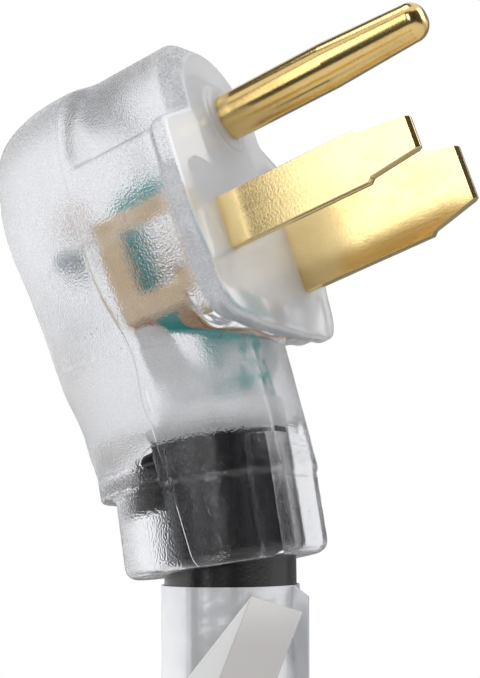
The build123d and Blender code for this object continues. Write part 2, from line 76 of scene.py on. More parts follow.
class Value:
    """An output socket whose arithmetic adds Math nodes to its material."""

    def __init__(self, shader: "Shader", socket: bpy.types.NodeSocket) -> None:
        """Wraps a socket.

        Args:
            shader: the material that the socket belongs to.
            socket: the output socket.
        """
        self.shader = shader
        self.socket = socket

    def maths(self, operation: str, first: "Value | float", second: "Value | float") -> "Value":
        """Adds one Math node.

        Args:
            operation: the Math node's operation.
            first: its first value.
            second: its second value.

        Returns:
            The node's output.
        """
        return self.shader.node("ShaderNodeMath", {"operation": operation}, {0: first, 1: second})

    def __add__(self, other: "Value | float") -> "Value":
        """Sum."""
        return self.maths("ADD", self, other)

    def __sub__(self, other: "Value | float") -> "Value":
        """Difference."""
        return self.maths("SUBTRACT", self, other)

    def __rsub__(self, other: float) -> "Value":
        """Difference, number first."""
        return self.maths("SUBTRACT", other, self)

    def __mul__(self, other: "Value | float") -> "Value":
        """Product."""
        return self.maths("MULTIPLY", self, other)

    def most(self, other: "Value | float") -> "Value":
        """The larger of two values.

        Args:
            other: the other value.

        Returns:
            The larger one.
        """
        return self.maths("MAXIMUM", self, other)

    def step(self, low: float, high: float) -> "Value":
        """Smooth step from 0 at low to 1 at high.

        Args:
            low: the value that gives 0.
            high: the value that gives 1.

        Returns:
            The stepped value.
        """
        settings = {"interpolation_type": "SMOOTHSTEP", "clamp": True}
        sockets = {0: self, 1: low, 2: high, 3: 0.0, 4: 1.0}
        return self.shader.node("ShaderNodeMapRange", settings, sockets)


class Shader:
    """The node tree of a material or a world, built from one generic node method."""

    def __init__(self, name: str, owners: Any = None) -> None:
        """Makes an empty tree.

        Args:
            name: the name of the material or world.
            owners: the data that it is added to; the materials unless said.
        """
        self.owner = (bpy.data.materials if owners is None else owners).new(name)
        self.owner.use_nodes = True
        self.tree = self.owner.node_tree
        self.tree.nodes.clear()

    def node(self, kind: str, settings: dict[str, Any] | None = None,
             sockets: dict[Any, Any] | None = None, output: Any = 0) -> Value:
        """Adds a node.

        Args:
            kind: the node's type.
            settings: its properties, set first.
            sockets: its inputs' values or links, by name or place.
            output: the output socket to return.

        Returns:
            The wrapped output.
        """
        made = self.tree.nodes.new(kind)
        for key, setting in (settings or {}).items():
            setattr(made, key, setting)
        for key, value in (sockets or {}).items():
            if isinstance(value, Value):
                self.tree.links.new(value.socket, made.inputs[key])
            else:
                made.inputs[key].default_value = value
        return Value(self, made.outputs[output])

    def coords(self, scale: Sequence[float] = (1.0, 1.0, 1.0),
               turn: Sequence[float] = (0.0, 0.0, 0.0),
               shift: Sequence[float] = (0.0, 0.0, 0.0)) -> Value:
        """Object coordinates, scaled, turned and then shifted.

        Args:
            scale: the scale along each axis.
            turn: the turn about each axis, in radians.
            shift: the shift along each axis, in metres.

        Returns:
            The mapped coordinates.
        """
        spot = self.node("ShaderNodeTexCoord", output="Object")
        sockets = {"Vector": spot, "Rotation": turn, "Scale": scale, "Location": shift}
        return self.node("ShaderNodeMapping", None, sockets)

    def part(self, spot: Value, axis: str) -> Value:
        """One coordinate of a vector.

        Args:
            spot: the vector.
            axis: X, Y or Z.

        Returns:
            The coordinate.
        """
        return self.node("ShaderNodeSeparateXYZ", None, {0: spot}, axis)

    def along_relief(self) -> tuple[Value, Value]:
        """Distances from the strain relief's axis and up that axis from its ring.

        Returns:
            The distance from the axis and the height along it.
        """
        turn = Matrix.Rotation(-LEAN, 3, "X")
        spot = self.coords(turn=(-LEAN, 0.0, 0.0), shift=-(turn @ RING_CENTRE))
        sockets = {0: spot, 1: (1.0, 1.0, 0.0)}
        flat = self.node("ShaderNodeVectorMath", {"operation": "MULTIPLY"}, sockets)
        away = self.node("ShaderNodeVectorMath", {"operation": "LENGTH"}, {0: flat}, "Value")
        return away, self.part(spot, "Z")

    def noise(self, spot: Value, scale: float, detail: float = 2.0, rough: float = 0.5) -> Value:
        """Noise from 0 to 1.

        Args:
            spot: the coordinates.
            scale: the noise's scale.
            detail: how many finer layers it has.
            rough: how strong the finer layers are.

        Returns:
            The noise.
        """
        sockets = {"Vector": spot, "Scale": scale, "Detail": detail, "Roughness": rough}
        return self.node("ShaderNodeTexNoise", None, sockets)

    def mix(self, share: Value, first: Value | Colour, second: Value | Colour) -> Value:
        """Mixes two colours.

        Args:
            share: how much of the second colour there is.
            first: the first colour.
            second: the second colour.

        Returns:
            The mixed colour.
        """
        ends = [end if isinstance(end, Value) else (*end, 1.0) for end in (first, second)]
        sockets = {0: share, 6: ends[0], 7: ends[1]}
        return self.node("ShaderNodeMix", {"data_type": "RGBA"}, sockets, 2)

    def bump(self, height: Value, strength: float, distance: float) -> Value:
        """Turns a height into a normal.

        Args:
            height: the height, from 0 to 1.
            strength: how strong the bump is.
            distance: the height of 1 in metres.

        Returns:
            The normal.
        """
        sockets = {"Strength": strength, "Distance": distance, "Height": height}
        return self.node("ShaderNodeBump", None, sockets)

    def skin(self, **sockets: Any) -> Value:
        """Adds a Principled shader.

        Args:
            sockets: the shader's sockets, with _ for a space in a name.

        Returns:
            The shader's output.
        """
        named = {key.replace("_", " "): value for key, value in sockets.items()}
        if "Base Color" in named and isinstance(named["Base Color"], tuple):
            named["Base Color"] = (*named["Base Color"], 1.0)
        return self.node("ShaderNodeBsdfPrincipled", None, named)

    def finish(self, skin: Value, kind: str = "ShaderNodeOutputMaterial") -> Any:
        """Joins a shader to the tree's output.

        Args:
            skin: the shader.
            kind: the output node's type.

        Returns:
            The finished material or world.
        """
        output = self.tree.nodes.new(kind)
        self.tree.links.new(skin.socket, output.inputs["Surface"])
        return self.owner


@dataclass(frozen=True)
class Finish:
    """A surface's look, which makes its own material."""

    name: str

    def material(self) -> bpy.types.Material:
        """Builds the material.

        Returns:
            The finished material.
        """
        shader = Shader(self.name)
        return shader.finish(self.skin(shader))

    def skin(self, shader: Shader) -> Value:
        """Adds the look's nodes.

        Args:
            shader: the material's tree.

        Returns:
            The shader that ends the material.
        """
        raise NotImplementedError


@dataclass(frozen=True)
class ClearVinyl(Finish):
    """Clear moulded vinyl: pebbled sides and back, clouded face, glossy round the jacket."""

    name: str = "clear_vinyl"
    tint: Colour = (0.95, 0.955, 0.975)
    speck: Colour = (0.80, 0.81, 0.87)
    bloom: Colour = (0.80, 0.81, 0.84)
    refraction: float = 1.48
    smooth_rough: float = 0.10
    grain_rough: float = 0.24
    neck_rough: float = 0.22
    flat_rough: float = 0.14
    face_rough: float = 0.14
    sleeve_rough: float = 0.02
    frost_rough: float = 0.5
    least_haze: float = 0.004
    grain_haze: float = 0.05
    blotch_haze: float = 0.12
    speck_haze: float = 0.14
    neck_haze: float = 0.20
    flat_haze: float = 0.10
    rim_haze: float = 0.20
    face_haze: float = 0.42
    rough_by_jacket: float = 0.2
    specks_by_jacket: float = 0.08
    grain_scale: float = 3600.0
    grain_height: float = 0.00014
    fine_share: float = 0.08
    blotch_scale: float = 210.0
    wave_scale: float = 170.0
    wave_share: float = 0.5
    parting_y: float = 0.0162
    parting_width: Span = (0.00008, 0.0002)
    parting_depth: float = 1.2
    skin_off: Span = (0.0030, 0.0032)
    skin_above: Span = (0.0001, 0.0003)
    jacket_fade: Span = (0.0, 0.003)
    neck_top: Span = (0.0165, 0.0185)
    neck_fade: Span = (0.009, 0.0195)
    face_depth: Span = (0.0006, 0.0014)
    rim_depth: Span = (0.003, 0.0045)
    facing_front: Span = (-0.95, -0.7)
    facing_down: Span = (-0.9, -0.6)

    def skin(self, shader: Shader) -> Value:
        """Clear vinyl, mixed with frost by where it is pebbled, clouded or plain."""
        spot = shader.coords()
        normal = shader.node("ShaderNodeTexCoord", output="Normal")
        back = shader.part(spot, "Y")
        away, up = shader.along_relief()
        past_jacket = up - JACKET_RISE
        outer = (away - CORD_RADIUS).step(*self.skin_off).most(past_jacket.step(*self.skin_above))
        low = 1.0 - up.step(*self.neck_top)
        at_face = 1.0 - back.step(*self.face_depth)
        glossy = (1.0 - shader.part(normal, "Y").step(*self.facing_front)) * low.most(at_face)
        grain = (1.0 - glossy) * shader.part(normal, "Z").step(*self.facing_down) * outer
        clear_of_jacket = past_jacket.step(*self.jacket_fade)
        neck = clear_of_jacket * (1.0 - up.step(*self.neck_fade)) * grain
        flats = glossy * low * clear_of_jacket
        face = at_face * (1.0 - grain)
        rim = (1.0 - back.step(*self.rim_depth)) * grain
        off_line = (back - self.parting_y).most(self.parting_y - back)
        line = (1.0 - off_line.step(*self.parting_width)) * outer
        pebbles = shader.noise(spot, self.grain_scale, 1.0)
        blotches = shader.noise(spot, self.blotch_scale, 3.0, 0.6).step(0.4, 0.7)
        waves = shader.noise(spot, self.wave_scale, 2.0) * outer
        coarse = grain * (1.0 - self.fine_share) + outer * self.fine_share
        height = pebbles * coarse + waves * self.wave_share - line * self.parting_depth
        bumped = shader.bump(height, 0.8, self.grain_height)
        matt = clear_of_jacket * (1.0 - self.rough_by_jacket) + self.rough_by_jacket
        rough = grain * matt * (self.grain_rough - self.smooth_rough) + neck * self.neck_rough
        rough = rough + face * self.face_rough + flats * self.flat_rough
        clear = shader.skin(
            Base_Color=shader.mix(pebbles.step(0.3, 0.7) * grain, self.tint, self.speck),
            Roughness=rough + outer * (self.smooth_rough - self.sleeve_rough) + self.sleeve_rough,
            Transmission_Weight=1.0,
            IOR=self.refraction,
            Normal=bumped,
        )
        frost = shader.skin(Base_Color=self.bloom, Roughness=self.frost_rough, Normal=bumped)
        clouded = clear_of_jacket * (blotches * self.blotch_haze + self.grain_haze) + self.least_haze
        kept = clear_of_jacket * (1.0 - self.specks_by_jacket) + self.specks_by_jacket
        haze = grain * (clouded + pebbles.step(0.52, 0.75) * kept * self.speck_haze)
        haze = haze + neck * self.neck_haze + flats * self.flat_haze
        haze = haze + rim * self.rim_haze + face * self.face_haze
        return shader.node("ShaderNodeMixShader", None, {0: haze, 1: clear, 2: frost})


@dataclass(frozen=True)
class Brass(Finish):
    """Drawn or rolled brass with fine scratches and a little tarnish."""

    bright: Colour = (0.86, 0.68, 0.34)
    dull: Colour = (0.54, 0.36, 0.13)
    rough: float = 0.18
    grain: Grain = Grain.ALONG
    cast_in_from: float = 1.0
    cast_in: Colour = (0.92, 0.67, 0.38)

    def skin(self, shader: Shader) -> Value:
        """Brass outside, and a matt tan where it is cast in."""
        spot = shader.coords()
        buried = (shader.part(spot, "Y") - self.cast_in_from).step(0.0, 0.001)
        streaks = shader.noise(shader.coords(self.grain.value), 1.0, 3.0, 0.6)
        patches = shader.noise(spot, 130.0, 4.0, 0.6)
        specks = shader.noise(spot, 2600.0, 2.0)
        tarnish = patches.step(0.45, 0.8) * 0.4 + specks.step(0.58, 0.76) * 0.3 + streaks * 0.15
        bared = shader.mix(tarnish, self.bright, self.dull)
        return shader.skin(
            Base_Color=shader.mix(buried, bared, self.cast_in),
            Metallic=1.0 - buried * 0.85,
            Roughness=streaks * 0.1 + patches * 0.08 + buried * 0.4 + (self.rough - 0.09),
            Normal=shader.bump(streaks * 0.2 + specks, 0.25, 0.00002),
        )


@dataclass(frozen=True)
class Copper(Finish):
    """Bare twisted copper strands."""

    name: str = "copper_strands"
    bright: Colour = (0.72, 0.40, 0.24)
    dull: Colour = (0.34, 0.17, 0.12)

    def skin(self, shader: Shader) -> Value:
        """Stained strands."""
        twist = shader.coords(turn=(0.0, 0.0, 0.5))
        settings = {"wave_type": "BANDS", "bands_direction": "DIAGONAL"}
        sockets = {"Vector": twist, "Scale": 700.0, "Distortion": 0.6}
        strands = shader.node("ShaderNodeTexWave", settings, sockets, 1)
        stain = shader.noise(shader.coords(), 600.0, 3.0)
        return shader.skin(
            Base_Color=shader.mix(stain.step(0.4, 0.7), self.bright, self.dull),
            Metallic=1.0,
            Roughness=stain * 0.2 + 0.3,
            Normal=shader.bump(strands, 0.8, 0.0001),
        )


@dataclass(frozen=True)
class Vinyl(Finish):
    """Opaque vinyl or rubber with a fine moulded grain."""

    colour: Colour
    worn: Colour
    rough: float = 0.4
    grain_scale: float = 2400.0
    grain_height: float = 0.00004
    gloss: float = 0.5
    # Painted reflection: a silvery colour that stands in for the shine of the air gap where the
    # moulding has parted, below a height and outside the wetted patches.
    painted_gap_reflection: Colour = (0.84, 0.86, 0.87)
    painted_reflection_below: float = -1.0
    wetted: float = 0.0

    def skin(self, shader: Shader) -> Value:
        """Vinyl, with a painted silvery reflection low down where the moulding has parted from it."""
        spot = shader.coords()
        grain = shader.noise(spot, self.grain_scale, 2.0)
        patches = shader.noise(spot, 160.0, 3.0)
        height = shader.part(spot, "Z") - self.painted_reflection_below
        wet = shader.noise(spot, 440.0, 1.0) - self.wetted
        # Painted reflection of the air gap: low down, in patches.
        painted_reflection_share = (1.0 - height.step(-0.002, 0.001)) * wet.step(-0.05, 0.05)
        plain = shader.mix(patches.step(0.45, 0.85), self.colour, self.worn)
        return shader.skin(
            Base_Color=shader.mix(painted_reflection_share, plain, self.painted_gap_reflection),
            Roughness=patches * 0.14 + grain * 0.08 + (self.rough - 0.11),
            Specular_IOR_Level=self.gloss,
            Normal=shader.bump(grain, 0.5, self.grain_height),
        )


@dataclass(frozen=True)
class Film(Finish):
    """Thin printed-label film, bare, with a satin silver sheen."""

    colour: Colour
    shade: Colour
    metal: float = 0.75
    rough: float = 0.3

    def skin(self, shader: Shader) -> Value:
        """Clouded film with faint creases."""
        spot = shader.coords()
        creases = shader.noise(shader.coords((90.0, 90.0, 260.0)), 1.0, 3.0)
        cloud = shader.noise(spot, 120.0, 2.0)
        return shader.skin(
            Base_Color=shader.mix(cloud.step(0.35, 0.75), self.colour, self.shade),
            Metallic=self.metal,
            Roughness=cloud * 0.1 + (self.rough - 0.05),
            Normal=shader.bump(creases, 0.5, 0.0003),
        )


@dataclass(frozen=True)
class FoldedFilm(Finish):
    """The folded strip's matt film, with painted shade on its front leg."""

    name: str = "strip_film"
    # front and fold are painted shade: the front leg's shaded tone, and its lighter tone near the
    # fold.
    front: Colour = (0.47, 0.455, 0.445)
    fold: Colour = (0.66, 0.65, 0.63)
    back: Colour = (0.70, 0.715, 0.71)
    normal: Point = (-0.9063, -0.4019, -0.1306)
    layer: float = 0.00715
    down: Point = (0.0, 0.309, -0.951)
    fold_at: float = 0.0455

    def skin(self, shader: Shader) -> Value:
        """A paler back leg, and painted shade on the front leg, lighter at the fold and darker below
        it.
        """
        spot = shader.coords()
        along = {"operation": "DOT_PRODUCT"}
        depth = shader.node("ShaderNodeVectorMath", along, {0: spot, 1: self.normal}, "Value")
        fall = shader.node("ShaderNodeVectorMath", along, {0: spot, 1: self.down}, "Value")
        cloud = shader.noise(spot, 150.0, 2.0)
        # Painted shade: the front leg darkens below the fold, while the back leg stays pale.
        below_fold = (fall + cloud * 0.003).step(self.fold_at, self.fold_at + 0.009)
        painted_shade_below_fold = shader.mix(below_fold, self.fold, self.front)
        in_front = depth.step(self.layer, self.layer + 0.00005)
        tone = shader.mix(in_front, self.back, painted_shade_below_fold)
        return shader.skin(Base_Color=tone, Roughness=cloud * 0.1 + 0.5)


@dataclass(frozen=True)
class LampGlass(Finish):
    """The small lamp's clear envelope, unlit."""

    name: str = "lamp_glass"
    tint: Colour = (0.95, 0.82, 0.74)

    def skin(self, shader: Shader) -> Value:
        """Hazy glass."""
        haze = shader.noise(shader.coords(), 900.0, 2.0)
        return shader.skin(
            Base_Color=self.tint,
            Roughness=haze * 0.15 + 0.05,
            Transmission_Weight=0.7,
            IOR=1.5,
        )


@dataclass(frozen=True)
class MilkyVinyl(Finish):
    """The inner bridge's milky moulding."""

    name: str = "milky_bridge"
    colour: Colour = (0.84, 0.85, 0.87)
    shade: Colour = (0.76, 0.77, 0.79)

    def skin(self, shader: Shader) -> Value:
        """Clouded vinyl without gloss."""
        cloud = shader.noise(shader.coords(), 260.0, 2.0)
        return shader.skin(
            Base_Color=shader.mix(cloud, self.colour, self.shade),
            Roughness=cloud * 0.1 + 0.4,
            Specular_IOR_Level=0.0,
        )


@dataclass(frozen=True)
class Banded(Finish):
    """A resistor's dipped coat with its painted bands."""

    name: str = "resistor_coat"
    coat: Colour = (0.46, 0.58, 0.66)
    band: Colour = (0.30, 0.14, 0.10)

    def skin(self, shader: Shader) -> Value:
        """Bands across the coat."""
        along = shader.part(shader.coords(), "X")
        wave = shader.node("ShaderNodeMath", {"operation": "SINE"}, {0: along * 5200.0})
        mottle = shader.noise(shader.coords(), 1500.0, 2.0)
        return shader.skin(
            Base_Color=shader.mix(wave.step(0.55, 0.75), self.coat, self.band),
            Roughness=mottle * 0.2 + 0.35,
            Normal=shader.bump(mottle, 0.3, 0.00005),
        )


@dataclass(frozen=True)
class Paper(Finish):
    """The plain pale floor."""

    name: str = "pale_floor"
    light: Colour = (0.86, 0.86, 0.86)
    dark: Colour = (0.83, 0.83, 0.84)

    def skin(self, shader: Shader) -> Value:
        """Matt paper."""
        cloud = shader.noise(shader.coords(), 6.0, 2.0)
        return shader.skin(Base_Color=shader.mix(cloud, self.light, self.dark), Roughness=0.85)


@dataclass(frozen=True)
class Matt(Finish):
    """A card's plain grey."""

    tone: float
    rough: float = 0.9

    def skin(self, shader: Shader) -> Value:
        """Matt grey."""
        return shader.skin(Base_Color=(self.tone, self.tone, self.tone), Roughness=self.rough)


def select_only(piece: bpy.types.Object) -> None:
    """Makes one object the only selected and active one.

    Args:
        piece: the object.
    """
    bpy.ops.object.select_all(action="DESELECT")
    piece.select_set(True)
    bpy.context.view_layer.objects.active = piece


def apply_modifier(piece: bpy.types.Object, kind: str, **settings: Any) -> None:
    """Adds a modifier and applies it.

    Args:
        piece: the object.
        kind: the modifier's type.
        settings: its properties.
    """
    select_only(piece)
    modifier = piece.modifiers.new(kind.lower(), kind)
    for key, setting in settings.items():
        setattr(modifier, key, setting)
    bpy.ops.object.modifier_apply(modifier=modifier.name)


def rise(place: float, low: float, high: float) -> float:
    """A smooth rise from nought to one.

    Args:
        place: where it is read.
        low: where it starts.
        high: where it ends.

    Returns:
        Its height.
    """
    share = min(1.0, max(0.0, (place - low) / (high - low)))
    return share * share * (3.0 - 2.0 * share)


def hump(off: float, half: float) -> float:
    """A smooth hump, one at its middle and nought at its ends.

    Args:
        off: how far from its middle it is read.
        half: half its width.

    Returns:
        Its height.
    """
    return rise(1.0 - abs(off) / half, 0.0, 1.0)


def new_object(name: str, data: bpy.types.ID) -> bpy.types.Object:
    """Makes an object in the scene.

    Args:
        name: its name.
        data: its mesh, curve, light or camera.

    Returns:
        The object.
    """
    piece = bpy.data.objects.new(name, data)
    bpy.context.scene.collection.objects.link(piece)
    return piece


def shade(piece: bpy.types.Object, degrees: float) -> None:
    """Shades an object smooth, but for edges sharper than an angle.

    Args:
        piece: the object.
        degrees: the angle.
    """
    select_only(piece)
    bpy.ops.object.shade_smooth_by_angle(angle=math.radians(degrees))


def copy_of_node(node: str, name: str, join_flats: bool = False) -> bpy.types.Object:
    """Copies a CAD node's mesh into a new object and merges its loose triangles.

    Args:
        node: the CAD node.
        name: the new object's name.
        join_flats: whether the triangles of a flat become one face.

    Returns:
        The new object.
    """
    mesh = NODES[node].data.copy()
    mesh.materials.clear()
    piece = new_object(name, mesh)
    select_only(piece)
    bpy.ops.mesh.customdata_custom_splitnormals_clear()
    bpy.ops.object.mode_set(mode="EDIT")
    bpy.ops.mesh.select_all(action="SELECT")
    bpy.ops.mesh.remove_doubles(threshold=1e-6)
    if join_flats:
        bpy.ops.mesh.dissolve_limited(angle_limit=math.radians(1.0))
    bpy.ops.object.mode_set(mode="OBJECT")
    return piece


def tube_cutter(start: Vector, axis: Vector, length: float, radius: float) -> bpy.types.Object:
    """Makes a plain round cutter.

    Args:
        start: the middle of its first end.
        axis: the way it runs.
        length: its length.
        radius: its radius.

    Returns:
        The cutter.
    """
    middle = start + axis * (length / 2)
    turn = axis.to_track_quat("Z", "Y").to_euler()
    bpy.ops.object.select_all(action="DESELECT")
    bpy.ops.mesh.primitive_cylinder_add(
        vertices=128, radius=radius, depth=length, location=middle, rotation=turn)
    return bpy.context.active_object


def cut(piece: bpy.types.Object, cutter: bpy.types.Object) -> None:
    """Cuts one object out of another and removes the cutter.

    Args:
        piece: the object that is cut.
        cutter: what is taken out of it.
    """
    apply_modifier(piece, "BOOLEAN", operation="DIFFERENCE", object=cutter, solver="MANIFOLD")
    bpy.data.objects.remove(cutter)


def dress(piece: bpy.types.Object, material: bpy.types.Material, slot: str,
          *nodes: str) -> bpy.types.Object:
    """Gives a new piece its material and body, and lets it stand for CAD nodes.

    Args:
        piece: the new piece.
        material: its material.
        slot: the record's material slot; not used.
        nodes: the CAD nodes that it stands for.

    Returns:
        The piece.
    """
    piece.data.materials.clear()
    piece.data.materials.append(material)
    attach(piece, BODY)
    if nodes:
        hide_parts(*nodes)
    log.info("%s stands for %s", piece.name, ", ".join(nodes) or "no node")
    return piece


def dress_nodes(finish: Finish, *nodes: str) -> None:
    """Gives CAD nodes that stay their material.

    Args:
        finish: their look.
        nodes: the CAD nodes.
    """
    material = finish.material()
    for node in nodes:
        NODES[node].data.materials.clear()
        NODES[node].data.materials.append(material)
        log.info("%s is dressed", node)


@dataclass(frozen=True)
class Swell:
    """A band across the back, filled out where the real outline is fuller than the plain forms."""

    name: str
    reach: float
    height: float
    half: float
    depth: Span
    way: str = "NORMAL"

    def share(self, at: Vector) -> float:
        """A point's share of the push.

        Args:
            at: the point.

        Returns:
            The share, from 0 to 1.
        """
        return hump(at.z - self.height, self.half) * rise(at.y, *self.depth)


@dataclass(frozen=True)
class CornerSwell(Swell):
    """A patch at one lower corner of the flange, filled out along one axis."""

    across: float = 0.0

    def share(self, at: Vector) -> float:
        """A point's share, less the further it is from the corner."""
        away = math.hypot(at.x - self.across, at.z - self.height)
        return hump(away, self.half) * rise(-at.y, *self.depth)


@dataclass
class ClearBody:
    """The clear moulding, one skin with an open sleeve round the lead's jacket."""

    finish: ClearVinyl = ClearVinyl()
    voxel: float = 0.00038
    crown_from: float = 0.003
    crown_behind: float = 0.004
    crown_passes: int = 30
    bands: tuple[Swell, ...] = (
        Swell("waist", 0.0010, -0.0105, 0.0085, (0.014, 0.030)),
        Swell("foot", 0.0006, -0.0245, 0.0035, (0.014, 0.026)),
        Swell("brow", 0.0006, 0.024, 0.007, (0.012, 0.024)),
    )
    corner_x: float = 0.0150
    corner_z: float = -0.0105
    corner_half: float = 0.0065
    corner_depth: Span = (-0.006, -0.0045)
    corner_out: float = 0.0016
    corner_down: float = 0.0012
    sleeve_past: float = 0.004
    smooth_below: float = 50.0
    air_film: float = 0.00007
    bond_from: float = 0.30
    bond_length: float = 0.003
    pocket_turn: float = math.radians(10.0)
    pocket_reach: float = 0.00895
    pocket_depth: float = 0.003
    pocket_width: float = 0.0125
    pocket_shift: float = 0.0009
    pocket_top: float = 0.0046
    pocket_foot: float = 0.0098
    touching: float = 0.0001
    cast_in: tuple[str, ...] = (
        "narrow_blade", "wide_blade", "ground_pin", "prong_bridge", "ground_strap", "narrow_wire",
        "wide_wire", "ground_wire", "narrow_conductor", "wide_conductor", "ground_conductor",
        "indicator_lamp", "dropper_resistor", "lamp_lead_narrow", "lamp_lead_middle", "lamp_lead_wide",
        "core_wrap", "jacket_end",
    )

    def cast_in_tree(self) -> BVHTree:
        """Gathers the surfaces of everything that is cast into the moulding.

        Returns:
            The tree of those surfaces.
        """
        points: list[Vector] = []
        faces: list[list[int]] = []
        for node in self.cast_in:
            mesh = NODES[node].data
            first = len(points)
            points.extend(vertex.co.copy() for vertex in mesh.vertices)
            faces.extend([first + i for i in polygon.vertices] for polygon in mesh.polygons)
        return BVHTree.FromPolygons(points, faces)

    def outer_skin(self) -> bpy.types.Object:
        """Copies the moulding without the faces that meet what is cast into it.

        Returns:
            The closed outer skin.
        """
        piece = copy_of_node("plug_body", "clear_moulding")
        tree = self.cast_in_tree()
        mesh = piece.data
        found = (tree.find_nearest(polygon.center, self.touching)[0] for polygon in mesh.polygons)
        inner = [spot is not None for spot in found]
        mesh.polygons.foreach_set("select", inner)
        bpy.context.tool_settings.mesh_select_mode = (False, False, True)
        bpy.ops.object.mode_set(mode="EDIT")
        bpy.ops.mesh.delete(type="FACE")
        bpy.context.tool_settings.mesh_select_mode = (False, True, False)
        bpy.ops.mesh.select_all(action="DESELECT")
        bpy.ops.mesh.select_non_manifold(extend=False)
        bpy.ops.mesh.fill_holes(sides=0)
        bpy.ops.mesh.select_all(action="SELECT")
        bpy.ops.mesh.normals_make_consistent(inside=False)
        bpy.ops.object.mode_set(mode="OBJECT")
        log.info("skin: %d of %d faces lie inside", sum(inner), len(inner))
        return piece

    def build(self) -> bpy.types.Object:
        """Builds and dresses the moulding.

        Returns:
            The moulding.
        """
        piece = self.outer_skin()
        apply_modifier(piece, "REMESH", mode="VOXEL", voxel_size=self.voxel, use_smooth_shade=True)
        apply_modifier(piece, "SMOOTH", factor=0.5, iterations=2)
        self.ease_crown(piece)
        for swell in (*self.bands, *self.corners()):
            self.swell(piece, swell)
        top = RING_CENTRE - RELIEF_AXIS * (JACKET_RISE + self.air_film)
        length = JACKET_RISE + RELIEF_LENGTH + self.sleeve_past
        cut(piece, tube_cutter(top, RELIEF_AXIS, length, CORD_RADIUS + self.air_film))
        cut(piece, self.pocket())
        self.bond(piece)
        shade(piece, self.smooth_below)
        log.info("moulding: %d faces", len(piece.data.polygons))
        return dress(piece, self.finish.material(), "clear_pvc", "plug_body")

    def corners(self) -> list[Swell]:
        """The swells of the flange's two lower corners.

        Returns:
            The swells, sideways and then down for each corner.
        """
        found: list[Swell] = []
        for side in (-1.0, 1.0):
            for way, reach in (("X", side * self.corner_out), ("Z", -self.corner_down)):
                name = f"corner{side:+.0f}{way.lower()}"
                found.append(CornerSwell(name, reach, self.corner_z, self.corner_half,
                                         self.corner_depth, way, side * self.corner_x))
        return found

    def ease_crown(self, piece: bpy.types.Object) -> None:
        """Softens the steps where the hood runs out of the crown.

        Args:
            piece: the moulding.
        """
        group = piece.vertex_groups.new(name="crown")
        soft = [vertex.index for vertex in piece.data.vertices
                if vertex.co.z > self.crown_from and vertex.co.y > self.crown_behind]
        group.add(soft, 1.0, "REPLACE")
        apply_modifier(piece, "SMOOTH", factor=0.5, iterations=self.crown_passes,
                       vertex_group=group.name)

    def swell(self, piece: bpy.types.Object, swell: Swell) -> None:
        """Fills the moulding out at one place.

        Args:
            piece: the moulding.
            swell: the place and its push.
        """
        group = piece.vertex_groups.new(name=swell.name)
        for vertex in piece.data.vertices:
            weight = swell.share(vertex.co)
            if weight > 0.0:
                group.add([vertex.index], weight, "REPLACE")
        apply_modifier(piece, "DISPLACE", direction=swell.way, strength=swell.reach, mid_level=0.0,
                       vertex_group=group.name)

    def pocket(self) -> bpy.types.Object:
        """Makes the cutter of the flat air pocket in front of the jacket.

        Returns:
            The cutter.
        """
        out = Vector((math.sin(self.pocket_turn), -math.cos(self.pocket_turn), 0.0))
        out = (out - RELIEF_AXIS * out.dot(RELIEF_AXIS)).normalized()
        side = RELIEF_AXIS.cross(out)
        middle = RING_CENTRE + out * (self.pocket_reach - self.pocket_depth / 2)
        middle += side * self.pocket_shift + RELIEF_AXIS * ((self.pocket_foot - self.pocket_top) / 2)
        bpy.ops.object.select_all(action="DESELECT")
        turn = Matrix((side, out, RELIEF_AXIS)).transposed()
        turn = turn if turn.determinant() > 0 else Matrix((-side, out, RELIEF_AXIS)).transposed()
        bpy.ops.mesh.primitive_cube_add(size=1.0, location=middle, rotation=turn.to_euler())
        cutter = bpy.context.active_object
        cutter.scale = (self.pocket_width, self.pocket_depth, self.pocket_top + self.pocket_foot)
        bpy.ops.object.transform_apply(location=False, rotation=False, scale=True)
        return cutter

    def in_sleeve(self, spot: Vector) -> tuple[bool, bool]:
        """Says whether a spot lies on the sleeve, and on its bonded part.

        Args:
            spot: the spot.

        Returns:
            Whether it lies on the sleeve, and on the bonded part.
        """
        arm = spot - RING_CENTRE
        along = arm.dot(RELIEF_AXIS)
        across = arm - RELIEF_AXIS * along
        beside = -JACKET_RISE - 2 * self.air_film < along < RELIEF_LENGTH + self.air_film
        inside = beside and across.length < CORD_RADIUS + 2 * self.air_film
        behind = across.y > across.length * self.bond_from
        return inside, inside and behind and along < self.bond_length

    def bond(self, piece: bpy.types.Object) -> None:
        """Takes out the sleeve's wall where the jacket is bonded to the moulding.

        Args:
            piece: the moulding.
        """
        bpy.context.tool_settings.mesh_select_mode = (False, False, True)
        wall = [self.in_sleeve(polygon.center)[0] for polygon in piece.data.polygons]
        piece.data.polygons.foreach_set("select", wall)
        select_only(piece)
        bpy.ops.object.mode_set(mode="EDIT")
        foot = RING_CENTRE + RELIEF_AXIS * self.bond_length
        bpy.ops.mesh.bisect(plane_co=foot, plane_no=RELIEF_AXIS)
        bpy.ops.object.mode_set(mode="OBJECT")
        bonded = [self.in_sleeve(polygon.center)[1] for polygon in piece.data.polygons]
        piece.data.polygons.foreach_set("select", bonded)
        bpy.ops.object.mode_set(mode="EDIT")
        bpy.ops.mesh.delete(type="FACE")
        bpy.ops.object.mode_set(mode="OBJECT")
        log.info("sleeve: %d faces bonded", sum(bonded))


